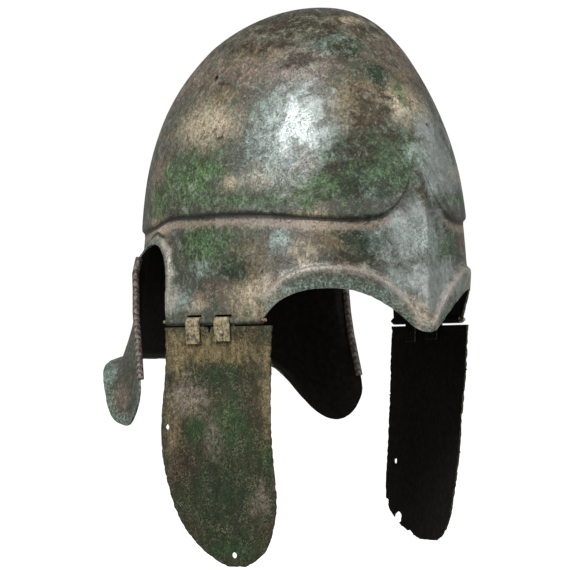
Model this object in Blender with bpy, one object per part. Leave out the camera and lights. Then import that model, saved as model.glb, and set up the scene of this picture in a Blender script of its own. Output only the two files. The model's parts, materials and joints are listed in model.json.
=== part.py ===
"""A bronze Chalcidian helmet: a hammered bowl with nasal, eye arches, ear openings and neck
guard, and two cheekpieces hung from wire pins in the bowl's rolled lower edges.

The front faces -Y and the wearer's left is +X. The origin is the inside of the crown, where
the helmet sits on a head. Lengths are in metres.

The bowl is one grid of quads. Each of its columns runs from the crown down to the rim. Places
on the band are given as a length around the brow from the front, and a drop below the brow.
"""

import math

import bmesh
import bpy
import numpy as np
from mathutils import Matrix, Vector

# The dome
BROW_WIDTH = 0.1908
FRONT_LENGTH = 0.1195
REAR_LENGTH = 0.1090
CROWN_SETBACK = 0.0967
DOME_HEIGHT = 0.1445
FRONT_FULLNESS = 2.15
REAR_FULLNESS = 2.07
FRONT_CROWN_FULLNESS = 2.00
REAR_CROWN_FULLNESS = 2.30
FRONT_SIDE_FULLNESS = 1.84
REAR_SIDE_FULLNESS = 1.92
CROWN_DRIFT = 5.0
WALL = 0.0015
KEEL_HEIGHT = 0.0016
KEEL_WIDTH = 0.009

# The brow line and the band under it
BROW_STEP = 0.0025
STEP_HEIGHT = 0.0026
BROW_RISE = 0.011
TENT_HEIGHT = 0.043
TENT_REACH = 0.0125
TENT_SHARPNESS = 1.25
TENT_STEP_LOSS = 0.6
BAND_FLARE = 0.0025
PANEL_DROP = 0.0576
PANEL_WIDTH = 0.0798
PANEL_TILT = 0.0015

# Nasal, eye arches, ear openings and neck guard
EYE_SPAN = 0.1052
NASAL_DROP = 0.0644
ARCH_RISE = 0.0273
RIM_BORDER = 0.013
RIM_LIFT = 0.0026
RIM_FOOT = 0.0022
RIM_MIDDLE = 0.45
EAR_WIDTH = 0.039
EAR_RISE = 0.0500
LOBE_WIDTH = 0.065
LOBE_DROP = 0.1265
NECK_DROP = 0.083
NECK_FLARE = 0.017
NECK_FLARE_START = 0.037
NECK_FLARE_POWER = 1.3
NECK_LIP = 0.010

# The hinges
PIN_RADIUS = 0.0011
PIN_END = 0.0032
HINGE_GAP = 0.0003
ROLL_WALL = 0.0010
ROLL_INSET = 0.0004
WINDOW_GAP = 0.0006
WINDOW_HEADROOM = 0.0014
STRAP_WALL = 0.0012
STRAP_LENGTH = 0.0135
STRAP_WIDTH = 0.0122
RIVET_DROP = 0.0074
RIVET_RADIUS = 0.0009
RIVET_HEAD_RADIUS = 0.0018
RIVET_HEAD_HEIGHT = 0.0009
RIVET_HEAD_PROFILE = ((0.0, 1.0), (0.6, 0.8), (1.0, 0.2), (1.0, 0.0))

# The cheekpieces
PLATE_WIDTH = 0.0908
PLATE_LENGTH = {"right": 0.1505, "left": 0.1420}
PLATE_WALL = 0.0018
PLATE_DROP = 0.0035
PLATE_FORWARD = 0.0020
PLATE_BULGE = 0.0045
PLATE_FLAT = 0.018
PLATE_LEAN = math.radians(3.4)
PLATE_TWIST = 0.0035
TIE_HOLE_RADIUS = 0.0018
TIE_HOLE_RISE = 0.0075
TIE_HOLE_FORWARD = 0.0100
NOTCH_WIDTH = 0.0090
NOTCH_DEPTH = 0.0040

# The small hole that corrosion has left in the dome, placed by shares of its half width and length
PIT_RADIUS = 0.0011
PIT_SIDES = 6
PIT_PLACE = (-0.741, -0.003)

# How finely the pieces are divided
BAND_ROWS = (0.24, 0.50, 0.76)
BROW_STEPS = (0.45, 1.0)
DOME_ROWS = 5
CAP_SHARE = 0.62
CAP_RELAXING = 40
PLATE_COLUMNS = 10
PLATE_ROWS = 13
PLATE_ROW_SPREAD = 1.5
ROUND_SIDES = 12
STRAP_BEND_SIDES = 8
TIE_HOLE_SIDES = 8
SLOT_SIDES = 6

# A cutter is this many times as deep as what it goes through
CUTTER_DEPTH = 6

# Each column's place on the brow line, as a share of the way from front to back.
# column, around
BROW_COLUMNS = (
    (0, 0.000),
    (2, 0.014),
    (4, 0.042),
    (6, 0.088),
    (8, 0.142),
    (10, 0.204),
    (12, 0.266),
    (14, 0.322),
    (20, 0.482),
    (24, 0.572),
    (28, 0.678),
    (32, 0.756),
    (36, 0.824),
    (42, 0.906),
    (48, 1.000),
)

# The brow line's height over its lowest point, at the back, as a share of BROW_RISE.
# around, rise
BROW_LINE = (
    (0.00, 0.68),
    (0.13, 0.66),
    (0.25, 0.81),
    (0.32, 0.97),
    (0.39, 1.00),
    (0.48, 0.94),
    (0.56, 0.88),
    (0.63, 0.42),
    (0.75, 0.10),
    (1.00, 0.00),
)

# Nasal and eye arch. Around is a share of EYE_SPAN, rise of ARCH_RISE above the nasal's tip,
# border of RIM_BORDER, and crest and edge are shares of RIM_LIFT.
# column, around, rise, border, crest, edge
EYE_ARCH = (
    (0, 0.000, 0.00, 0.30, 0.60, 0.60),
    (1, 0.038, 0.01, 0.34, 0.60, 0.60),
    (2, 0.082, 0.07, 0.42, 0.70, 0.55),
    (4, 0.172, 0.36, 0.72, 0.95, 0.40),
    (6, 0.285, 0.66, 0.96, 1.00, 0.30),
    (8, 0.435, 0.92, 1.04, 1.00, 0.30),
    (10, 0.620, 1.00, 1.00, 1.00, 0.30),
    (12, 0.825, 0.86, 0.92, 1.00, 0.30),
    (13, 0.925, 0.64, 0.62, 0.90, 0.35),
    (14, 1.000, 0.27, 0.26, 0.30, 0.20),
)

# Ear opening. Around is a share of EAR_WIDTH from the panel's rear corner, rise of EAR_RISE
# above the hinge, and the rest are as above.
# column, around, rise, border, crest, edge
EAR_OPENING = (
    (20, 0.00, 0.00, 0.26, 0.30, 0.30),
    (21, 0.04, 0.17, 0.26, 0.60, 0.40),
    (22, 0.05, 0.37, 0.30, 0.75, 0.45),
    (23, 0.07, 0.60, 0.34, 0.80, 0.50),
    (24, 0.17, 0.83, 0.36, 0.80, 0.50),
    (25, 0.35, 0.96, 0.38, 0.80, 0.60),
    (26, 0.56, 1.00, 0.36, 0.70, 0.80),
    (27, 0.77, 0.96, 0.30, 0.90, 1.60),
    (28, 0.95, 0.83, 0.30, 1.60, 2.90),
    (29, 1.05, 0.62, 0.34, 1.80, 3.10),
)

# Neck guard's front edge and the lobe's bottom. Around is a share of LOBE_WIDTH from the ear
# opening, and drop of LOBE_DROP. The rest are as above.
# column, around, drop, border, crest, edge
NECK_FRONT = (
    (29, 0.000, 0.210, 0.34, 1.80, 3.10),
    (30, 0.000, 0.300, 0.34, 1.40, 2.60),
    (32, -0.060, 0.530, 0.34, 0.60, 1.40),
    (34, -0.160, 0.752, 0.34, 0.20, 0.60),
    (35, -0.180, 0.845, 0.34, 0.10, 0.50),
    (36, -0.100, 0.928, 0.34, 0.00, 0.50),
    (37, 0.010, 0.982, 0.38, 0.00, 0.50),
    (38, 0.140, 1.000, 0.40, 0.00, 0.50),
)

# Lobe's rear edge. Around is a share of LOBE_WIDTH, and drop of the lobe's depth under the back
# of the neck guard. The edge is a share of NECK_LIP, and the rest are as above.
# column, around, drop, border, crest, edge
NECK_REAR = (
    (38, 0.140, 1.000, 0.40, 0.00, 0.13),
    (39, 0.300, 0.925, 0.40, 0.00, 0.15),
    (40, 0.430, 0.745, 0.38, 0.00, 0.22),
    (41, 0.540, 0.520, 0.36, 0.00, 0.42),
    (42, 0.640, 0.280, 0.34, 0.00, 0.85),
    (43, 0.780, 0.080, 0.32, 0.00, 1.15),
    (44, 0.950, 0.000, 0.30, 0.00, 1.00),
)
LAST_COLUMN = BROW_COLUMNS[-1][0]

# How much of NECK_FLARE the wall takes, along the share of the way from front to back.
# around, flare
NECK_SPREAD = (
    (0.60, 0.00),
    (0.64, 0.14),
    (0.70, 0.18),
    (0.76, 0.52),
    (0.82, 0.86),
    (0.88, 1.00),
    (1.00, 1.00),
)

# Straps, from the rear of the hinge: place as a share of the hinge, width and length as shares of
# STRAP_WIDTH and STRAP_LENGTH.
# name, place, width, length
STRAPS = (
    ("rear", 0.29, 0.94, 1.04),
    ("front", 0.60, 1.06, 0.94),
)

# Cheekpiece outlines: how far down, and the rear and the front edge's distance from the middle
# line there, as shares of half the plate's width.
# down, rear, front
PLATE_OUTLINES = {
    "right": (
        (0.00, 0.970, 1.000),
        (0.20, 1.020, 0.945),
        (0.34, 1.110, 0.900),
        (0.49, 1.165, 0.890),
        (0.60, 1.110, 0.895),
        (0.71, 0.985, 0.910),
        (0.80, 0.840, 0.865),
        (0.88, 0.600, 0.785),
        (0.94, 0.345, 0.670),
        (0.98, 0.105, 0.490),
        (1.00, -0.050, 0.350),
    ),
    "left": (
        (0.00, 0.970, 0.995),
        (0.25, 0.985, 1.010),
        (0.40, 1.000, 0.968),
        (0.62, 1.030, 0.940),
        (0.72, 1.050, 0.880),
        (0.80, 1.050, 0.830),
        (0.88, 0.940, 0.755),
        (0.95, 0.630, 0.600),
        (0.98, 0.400, 0.470),
        (1.00, 0.150, 0.300),
    ),
}

# Broken places in the left cheekpiece's edge: distance from the middle line and down, as shares
# of half its width and its length, the break's radius as a share of its width, and its sides.
# across, down, radius, sides
LEFT_BREAKS = (
    (-1.02, 0.830, 0.024, 5),
    (-0.76, 0.905, 0.045, 6),
    (-0.46, 0.990, 0.050, 6),
    (0.985, 0.420, 0.028, 5),
)
RIGHT_BREAKS = (
    (1.01, 0.440, 0.026, 5),
    (-1.01, 0.420, 0.020, 4),
    (1.00, 0.760, 0.018, 5),
)
SLOT_PLACE = (-0.84, 0.638)

BRONZES = {
    "patinated bronze": ((0.22, 0.19, 0.12), 0.48, 0.55),
    "corroded bronze": ((0.20, 0.17, 0.09), 0.62, 0.40),
    "bronze wire": ((0.30, 0.25, 0.18), 0.45, 0.70),
}
UP = Vector((0, 0, 1))
SIDES = {"right": -1, "left": 1}


def clear_scene():
    for thing in list(bpy.data.objects):
        bpy.data.objects.remove(thing)


def bronze(name):
    """The material of that name, made on its first use."""
    if name in bpy.data.materials:
        return bpy.data.materials[name]
    colour, roughness, metallic = BRONZES[name]
    material = bpy.data.materials.new(name)
    material.use_nodes = True
    shader = material.node_tree.nodes["Principled BSDF"]
    shader.inputs["Base Color"].default_value = (*colour, 1)
    shader.inputs["Roughness"].default_value = roughness
    shader.inputs["Metallic"].default_value = metallic
    return material


def add_object(name, mesh, metal, parent=None, place=None):
    thing = bpy.data.objects.new(name, mesh)
    bpy.context.scene.collection.objects.link(thing)
    mesh.materials.append(bronze(metal))
    mesh.shade_smooth()
    mesh.set_sharp_from_angle(angle=math.radians(35))
    if parent:
        thing.parent = parent
    if place:
        thing.matrix_local = place
    return thing


def mesh_of(name, points, faces):
    mesh = bpy.data.meshes.new(name)
    mesh.from_pydata([tuple(point) for point in points], [], faces)
    mesh.validate()
    return mesh


def add_cutter(name, mesh, parent=None, place=None):
    cutter = bpy.data.objects.new(name, mesh)
    bpy.context.scene.collection.objects.link(cutter)
    cutter.hide_render = True
    cutter.display_type = "WIRE"
    if parent:
        cutter.parent = parent
    if place:
        cutter.matrix_local = place
    return cutter


def combine(thing, other, operation):
    modifier = thing.modifiers.new(f"{operation} {other.name}", "BOOLEAN")
    modifier.operation = operation
    modifier.object = other
    modifier.solver = "EXACT"


def smooth_columns(rows, columns):
    """The table's other entries at each of these columns, on a smooth curve through its rows."""
    table = np.array(rows, float)
    places, values = table[:, 0], table[:, 1:]
    steps = np.diff(places)[:, None]
    slopes = np.diff(values, axis=0) / steps
    tangents = np.concatenate([slopes[:1], (slopes[:-1] + slopes[1:]) / 2, slopes[-1:]])
    tangents[1:-1][slopes[:-1] * slopes[1:] <= 0] = 0
    columns = np.asarray(columns, float)
    i = np.clip(np.searchsorted(places, columns, side="right") - 1, 0, len(steps) - 1)
    step = steps[i]
    t = ((columns - places[i])[:, None]) / step
    return (
        values[i] * (1 + 2 * t) * (1 - t) ** 2
        + values[i + 1] * t**2 * (3 - 2 * t)
        + tangents[i] * step * t * (1 - t) ** 2
        - tangents[i + 1] * step * t**2 * (1 - t)
    )


def eased(share):
    share = np.clip(share, 0, 1)
    return share * share * (3 - 2 * share)


# Plan of the brow line

WIDEST = FRONT_LENGTH - CROWN_SETBACK
BROW_Z = WALL - DOME_HEIGHT


def half_plan():
    """Length around from the front, place and outward direction of points along half the brow."""
    turn = np.linspace(0, math.pi, 4001)
    sine, cosine = np.abs(np.sin(turn)), np.cos(turn)
    power = np.where(cosine > 0, FRONT_FULLNESS, REAR_FULLNESS)
    length = np.where(cosine > 0, FRONT_LENGTH, REAR_LENGTH)
    x = BROW_WIDTH / 2 * sine ** (2 / power)
    y = WIDEST - length * np.sign(cosine) * np.abs(cosine) ** (2 / power)
    around = np.concatenate([[0], np.cumsum(np.hypot(np.diff(x), np.diff(y)))])
    return around, x, y, np.gradient(y, around), -np.gradient(x, around)


PLAN = half_plan()
HALF_BROW = float(PLAN[0][-1])
HINGE_START = EYE_SPAN
HINGE_END = EYE_SPAN + PANEL_WIDTH


def plan_at(around):
    """Place and outward direction on the brow line at this length around."""
    return [np.interp(around, PLAN[0], values) for values in PLAN[1:]]


def tent(around):
    """How far the point between the two front lobes has risen, as a share of its height."""
    return np.exp(-((np.abs(around) / TENT_REACH) ** TENT_SHARPNESS))


def brow_height(around):
    """The brow line's height over BROW_Z."""
    rise = smooth_columns(BROW_LINE, around / HALF_BROW)[:, 0]
    return BROW_RISE * rise + TENT_HEIGHT * tent(around)


def keel(x, y, forward):
    """The points moved out along the front's middle line."""
    return y - KEEL_HEIGHT * np.exp(-((x / KEEL_WIDTH) ** 2)) * np.clip(forward, 0, 1)


def fullness(heading):
    """The powers of the dome's crown and of its sides, from the front at -1 to the rear at 1."""
    rear = 0.5 + 0.5 * heading
    crown = FRONT_CROWN_FULLNESS + (REAR_CROWN_FULLNESS - FRONT_CROWN_FULLNESS) * rear
    return crown, FRONT_SIDE_FULLNESS + (REAR_SIDE_FULLNESS - FRONT_SIDE_FULLNESS) * rear


def dome_height(share, heading):
    """The dome's height at this share of its plan, as a share of DOME_HEIGHT."""
    crown, side = fullness(heading)
    return np.clip(1 - share**crown, 0, 1) ** (1 / side)


def dome_width(height, heading):
    """The share of its plan that the dome has at this share of its height."""
    crown, side = fullness(heading)
    return np.clip(1 - np.clip(height, 0, 1) ** side, 0, 1) ** (1 / crown)


def dome_points(across, along):
    """Points of the dome over plan places given as shares of its half width and its length."""
    power = np.where(along < 0, FRONT_FULLNESS, REAR_FULLNESS)
    share = (np.abs(across) ** power + np.abs(along) ** power) ** (1 / power)
    share = np.clip(share, 0, 1)
    height = dome_height(share, along / np.maximum(share, 1e-6))
    middle = WIDEST * (1 - height**CROWN_DRIFT)
    x = BROW_WIDTH / 2 * across
    y = middle + along * np.where(along < 0, FRONT_LENGTH, REAR_LENGTH)
    return np.stack([x, keel(x, y, -along), BROW_Z + DOME_HEIGHT * height], -1)


def band_outset(around, depth):
    """How far the band stands out from the brow line's plan, this deep under the brow line."""
    step = BROW_STEP * (1 - TENT_STEP_LOSS * tent(around))
    outset = (BROW_STEP + BAND_FLARE) * np.clip(depth / PANEL_DROP, 0, 1) - step
    drop = depth - brow_height(around)
    x, y = plan_at(around)[:2]
    heading = (y - WIDEST) / np.where(y < WIDEST, FRONT_LENGTH, REAR_LENGTH)
    outset = outset - (1 - dome_width(-drop / DOME_HEIGHT, heading)) * np.hypot(x, y - WIDEST)
    spread = np.interp(around / HALF_BROW, *np.array(NECK_SPREAD).T)
    flare = np.clip((drop - NECK_FLARE_START) / (NECK_DROP - NECK_FLARE_START), 0, None)
    return outset + NECK_FLARE * spread * flare**NECK_FLARE_POWER


def band_points(around, z, lift=0.0, outset=None):
    """Points of the band on the wearer's right, flattened towards the hinge's straight line."""
    if outset is None:
        outset = band_outset(around, BROW_Z + brow_height(around) - z)
    outset = outset + lift
    x, y, out_x, out_y = plan_at(around)
    curved = np.stack([x + out_x * outset, y + out_y * outset], -1)
    ends = [np.array(plan_at(end)) for end in (HINGE_START, HINGE_END)]
    ends = [end[:2] + end[2:] * outset[:, None] for end in ends]
    share = ((around - HINGE_START) / PANEL_WIDTH)[:, None]
    straight = ends[0] + (ends[1] - ends[0]) * share
    within = (share > 0) & (share < 1)
    depth = (BROW_Z - z) / PANEL_DROP
    flat = curved + (straight - curved) * (eased(depth)[:, None] * within)
    front = np.clip((WIDEST - flat[:, 1]) / FRONT_LENGTH, 0, 1)
    return np.stack([-flat[:, 0], keel(flat[:, 0], flat[:, 1], front), z], -1)


# Hinge line


def hinge_end(around, drop):
    """A point of the hinge's axis on the wearer's right, at this end of the temple panel."""
    z = np.array([BROW_Z - drop])
    return band_points(np.array([around]), z, lift=-ROLL_INSET)[0]


def hinge_frame(side):
    """The hinge's middle, its forward and outward directions and its length."""
    mirror = np.array((-SIDES[side], 1, 1))
    front = Vector(hinge_end(HINGE_START, PANEL_DROP - PANEL_TILT / 2) * mirror)
    rear = Vector(hinge_end(HINGE_END, PANEL_DROP + PANEL_TILT / 2) * mirror)
    forward = (front - rear).normalized()
    outward = (UP.cross(forward) * SIDES[side]).normalized()
    return (front + rear) / 2, forward, outward, (front - rear).length


def frame_matrix(middle, forward, outward):
    """Local X along the hinge to the front, local Y outward, local Z square to both."""
    third = forward.cross(outward)
    rows = Matrix((forward, outward, third)).transposed()
    return Matrix.Translation(middle) @ rows.to_4x4()


# The bowl


def all_columns(rows):
    return range(rows[0][0], rows[-1][0] + 1)


def rim_outline():
    """Each column's place on the rim: around, z, border width, crest lift and edge lift."""
    tip = BROW_Z - NASAL_DROP
    arch = smooth_columns(EYE_ARCH, all_columns(EYE_ARCH))
    around, rise, border, crest, edge = arch.T
    arch = np.stack([around * EYE_SPAN, tip + rise * ARCH_RISE, border, crest, edge], -1)
    arch[-1, 1] = BROW_Z - PANEL_DROP + PANEL_TILT / 2
    between = EAR_OPENING[0][0] - EYE_ARCH[-1][0]
    hinge = np.linspace(0, 1, between + 1)[1:-1, None]
    ear = smooth_columns(EAR_OPENING, all_columns(EAR_OPENING))
    around, rise, border, crest, edge = ear.T
    level = BROW_Z - PANEL_DROP - PANEL_TILT / 2
    ear = np.stack([HINGE_END + around * EAR_WIDTH, level + rise * EAR_RISE, border, crest, edge], -1)
    hinge = arch[-1] + (ear[0] - arch[-1]) * hinge
    hinge[:, 3:] = 0
    neck = smooth_columns(NECK_FRONT, all_columns(NECK_FRONT))[1:]
    around, drop, border, crest, edge = neck.T
    start = HINGE_END + EAR_WIDTH * EAR_OPENING[-1][1]
    neck = np.stack([start + around * LOBE_WIDTH, BROW_Z - drop * LOBE_DROP, border, crest, edge], -1)
    rear = smooth_columns(NECK_REAR, all_columns(NECK_REAR))[1:]
    around, drop, border, crest, edge = rear.T
    depth = NECK_DROP + drop * (LOBE_DROP - NECK_DROP)
    edge = edge * NECK_LIP / RIM_LIFT
    rear = np.stack([start + around * LOBE_WIDTH, BROW_Z - depth, border, crest, edge], -1)
    back = np.repeat(rear[-1:], LAST_COLUMN - NECK_REAR[-1][0], axis=0)
    back[:, 0] = np.linspace(rear[-1, 0], HALF_BROW, len(back) + 1)[1:]
    outline = np.concatenate([arch, hinge, ear, neck, rear, back])
    outline[:, 2] *= RIM_BORDER
    outline[:, 3:] *= RIM_LIFT
    return outline


def inward_directions(outline):
    """Unit directions from the rim into the wall, in around and z."""
    along = np.gradient(outline, axis=0)
    along[[0, -1]] = (1, 0)
    along /= np.linalg.norm(along, axis=1, keepdims=True)
    return np.stack([-along[:, 1], along[:, 0]], -1)


def half_rows():
    """The rows of points of the bowl's right half, from the top of its dome's side to the rim."""
    columns = np.arange(LAST_COLUMN + 1)
    around = smooth_columns(BROW_COLUMNS, columns)[:, 0] * HALF_BROW
    height = brow_height(around)
    x, y = plan_at(around)[:2]
    across = -x / (BROW_WIDTH / 2)
    along = (y - WIDEST) / np.where(y < WIDEST, FRONT_LENGTH, REAR_LENGTH)
    start = np.arcsin(height / DOME_HEIGHT)
    cap = np.arcsin(dome_height(CAP_SHARE, along))
    rows = []
    for share in np.linspace(1, 0, DOME_ROWS + 1):
        level = np.sin(start + (cap - start) * share)
        width = dome_width(level, along)
        rows.append(dome_points(across * width, along * width))
    brow = BROW_Z + height
    for step in BROW_STEPS:
        depth = np.full_like(around, STEP_HEIGHT * step)
        full = band_outset(around, depth)
        held = (1 - step) * BROW_STEP * (1 - TENT_STEP_LOSS * tent(around))
        rows.append(band_points(around, brow - depth, outset=full + held))
    outline = rim_outline()
    edge = outline[:, :2]
    inward = inward_directions(edge)
    border, crest, lift = outline[:, 2:].T
    top = np.stack([around, brow - STEP_HEIGHT], -1)
    ridge = edge + inward * border[:, None]
    foot = ridge + inward * RIM_FOOT
    for share in BAND_ROWS:
        place = top + (foot - top) * share
        rows.append(band_points(place[:, 0], place[:, 1]))
    rows.append(band_points(foot[:, 0], foot[:, 1]))
    rows.append(band_points(ridge[:, 0], ridge[:, 1], lift=crest))
    middle = (ridge + edge) / 2
    rows.append(band_points(middle[:, 0], middle[:, 1], lift=crest + (lift - crest) * RIM_MIDDLE))
    rows.append(band_points(edge[:, 0], edge[:, 1], lift=lift))
    return rows, CAP_SHARE * np.stack([across, along], -1)


def both_halves(half):
    """The right half's columns from front to back, then the left half's from back to front."""
    mirror = np.ones(half.shape[-1])
    mirror[0] = -1
    return np.concatenate([half, half[-2:0:-1] * mirror])


def cap_places(ring, size):
    """A square grid of plan shares inside the ring, evened out."""
    corner = size // 2
    span = np.arange(size + 1)
    front = ring[corner - span]
    back = ring[corner + size + span]
    right = ring[corner + span]
    left = ring[-corner - span]
    u = (span / size)[:, None, None]
    v = (span / size)[None, :, None]
    grid = (1 - v) * front[:, None] + v * back[:, None] + (1 - u) * right[None] + u * left[None]
    grid -= (1 - u) * ((1 - v) * front[0] + v * back[0]) + u * ((1 - v) * front[-1] + v * back[-1])
    for _ in range(CAP_RELAXING):
        near = grid[:-2, 1:-1] + grid[2:, 1:-1] + grid[1:-1, :-2] + grid[1:-1, 2:]
        grid[1:-1, 1:-1] = near / 4
    return grid


def bowl_surface():
    """Points and faces of the bowl's outer surface."""
    rows, shares = half_rows()
    rings = [both_halves(row) for row in rows]
    count = len(rings[0])
    points = np.concatenate(rings)
    faces = []
    for row in range(len(rings) - 1):
        for column in range(count):
            following = (column + 1) % count
            top, bottom = row * count, (row + 1) * count
            faces.append((top + column, top + following, bottom + following, bottom + column))
    size = count // 4
    corner = size // 2
    places = cap_places(both_halves(shares), size)
    inner = dome_points(places[1:-1, 1:-1, 0], places[1:-1, 1:-1, 1]).reshape(-1, 3)
    number = np.zeros((size + 1, size + 1), int)
    number[1:-1, 1:-1] = len(points) + np.arange(len(inner)).reshape(size - 1, size - 1)
    span = np.arange(size + 1)
    number[:, 0] = (corner - span) % count
    number[:, -1] = corner + size + span
    number[0] = corner + span
    number[-1] = (-corner - span) % count
    for i in range(size):
        for j in range(size):
            corners = (number[i, j], number[i + 1, j], number[i + 1, j + 1], number[i, j + 1])
            faces.append(tuple(int(one) for one in corners))
    return np.concatenate([points, inner]), faces


def rod(name, radius, length, sides=ROUND_SIDES, bevel=0.0):
    """A round bar along local X, about its middle."""
    form = bmesh.new()
    turn = Matrix.Rotation(math.radians(90), 4, "Y")
    bmesh.ops.create_cone(
        form, cap_ends=True, segments=sides, radius1=radius, radius2=radius, depth=length, matrix=turn
    )
    if bevel:
        rims = [edge for edge in form.edges if abs(edge.verts[0].co.x - edge.verts[1].co.x) < 1e-7]
        bmesh.ops.bevel(form, geom=rims, offset=bevel, segments=1, affect="EDGES")
    mesh = bpy.data.meshes.new(name)
    form.to_mesh(mesh)
    form.free()
    return mesh


def block(name, size, middle):
    form = bmesh.new()
    place = Matrix.Translation(middle) @ Matrix.Diagonal((*size, 1))
    bmesh.ops.create_cube(form, size=1, matrix=place)
    mesh = bpy.data.meshes.new(name)
    form.to_mesh(mesh)
    form.free()
    return mesh


def strap_seat(strap, length):
    """The strap's middle along the hinge, from the hinge's middle, and its width."""
    return (strap[1] - 0.5) * length, STRAP_WIDTH * strap[2]


def add_bowl():
    points, faces = bowl_surface()
    bowl = add_object("bowl", mesh_of("bowl", points, faces), "patinated bronze")
    wall = bowl.modifiers.new("Wall", "SOLIDIFY")
    wall.thickness = WALL
    wall.offset = -1
    wall.use_even_offset = False
    roll_radius = PIN_RADIUS + HINGE_GAP + ROLL_WALL
    loop_radius = loop_bore() + STRAP_WALL
    for side in SIDES:
        middle, forward, outward, length = hinge_frame(side)
        place = frame_matrix(middle, forward, outward)
        up = 1 if place.col[2].z > 0 else -1
        roll = add_cutter(f"roll {side}", rod("roll", roll_radius, length), place=place)
        combine(bowl, roll, "UNION")
        for strap in STRAPS:
            along, width = strap_seat(strap, length)
            low = -roll_radius - WINDOW_GAP
            high = loop_radius + WINDOW_HEADROOM
            size = (width + 2 * WINDOW_GAP, CUTTER_DEPTH * roll_radius, high - low)
            window = block("window", size, Vector((along, 0, up * (high + low) / 2)))
            cutter = add_cutter(f"window {side} {strap[0]}", window, place=place)
            combine(bowl, cutter, "DIFFERENCE")
        bore_length = length + 4 * PIN_END
        bore = rod("bore", PIN_RADIUS + HINGE_GAP, bore_length)
        combine(bowl, add_cutter(f"bore {side}", bore, place=place), "DIFFERENCE")
    pit = add_cutter("pit", rod("pit", PIT_RADIUS, CUTTER_DEPTH * WALL, PIT_SIDES))
    pit.location = dome_points(*np.array(PIT_PLACE))
    combine(bowl, pit, "DIFFERENCE")
    return bowl


def add_pin(side, bowl):
    middle, forward, outward, length = hinge_frame(side)
    mesh = rod("pin", PIN_RADIUS, length + 2 * PIN_END, bevel=PIN_RADIUS / 4)
    place = frame_matrix(middle, forward, outward)
    return add_object(f"hinge_pin_{side}", mesh, "bronze wire", bowl, place)


# The cheekpieces


def loop_bore():
    """The inside of a strap's bend, clear of the pin and as wide as the plate needs."""
    return max(PIN_RADIUS, PLATE_WALL / 2) + HINGE_GAP


def plate_frame(side):
    """The hinge frame leant in as the cheekpiece hangs: local X forward, Y outward, Z up."""
    middle, forward, outward, length = hinge_frame(side)
    lean = Matrix.Rotation(PLATE_LEAN * -SIDES[side], 3, forward)
    return frame_matrix(middle, forward, lean @ outward), length


def plate_points(side):
    """The plate's middle surface, rows from its top edge down to its rounded end."""
    length = PLATE_LENGTH[side]
    downs = 1 - (1 - np.linspace(0, 1, PLATE_ROWS + 1)) ** PLATE_ROW_SPREAD
    rear, front = smooth_columns(PLATE_OUTLINES[side], downs).T * PLATE_WIDTH / 2
    across = np.linspace(0, 1, PLATE_COLUMNS + 1)
    down = downs[:, None] * length + 0 * across
    x = PLATE_FORWARD - rear[:, None] + (rear + front)[:, None] * across
    grown = eased((down - PLATE_FLAT) / (length / 2 - PLATE_FLAT))
    share = (x - PLATE_FORWARD) / (PLATE_WIDTH / 2)
    twist = PLATE_TWIST * share * np.clip((down - PLATE_FLAT) / (length - PLATE_FLAT), 0, 1)
    y = PLATE_BULGE * grown * (1 - share**2) - twist
    return np.stack([x, y, -(PLATE_DROP + down)], -1)


def grid_mesh(name, grid, flip):
    rows, columns = grid.shape[:2]
    faces = []
    for row in range(rows - 1):
        for column in range(columns - 1):
            one = row * columns + column
            face = (one, one + columns, one + columns + 1, one + 1)
            faces.append(face[::-1] if flip else face)
    return mesh_of(name, grid.reshape(-1, 3), faces)


def prism(name, corners, depth):
    """A prism through the plate along local Y, over these corners in X and Z."""
    form = bmesh.new()
    near = [form.verts.new((x, -depth / 2, z)) for x, z in corners]
    far = [form.verts.new((x, depth / 2, z)) for x, z in corners]
    form.faces.new(near)
    form.faces.new(far)
    for i in range(len(corners)):
        form.faces.new((near[i - 1], near[i], far[i], far[i - 1]))
    bmesh.ops.recalc_face_normals(form, faces=form.faces)
    mesh = bpy.data.meshes.new(name)
    form.to_mesh(mesh)
    form.free()
    return mesh


def polygon_prism(name, x, z, radius, sides, depth):
    """A regular prism about that place, with a corner at its top."""
    turns = [2 * math.pi * i / sides for i in range(sides)]
    return prism(name, [(x + radius * math.sin(turn), z + radius * math.cos(turn)) for turn in turns], depth)


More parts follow.
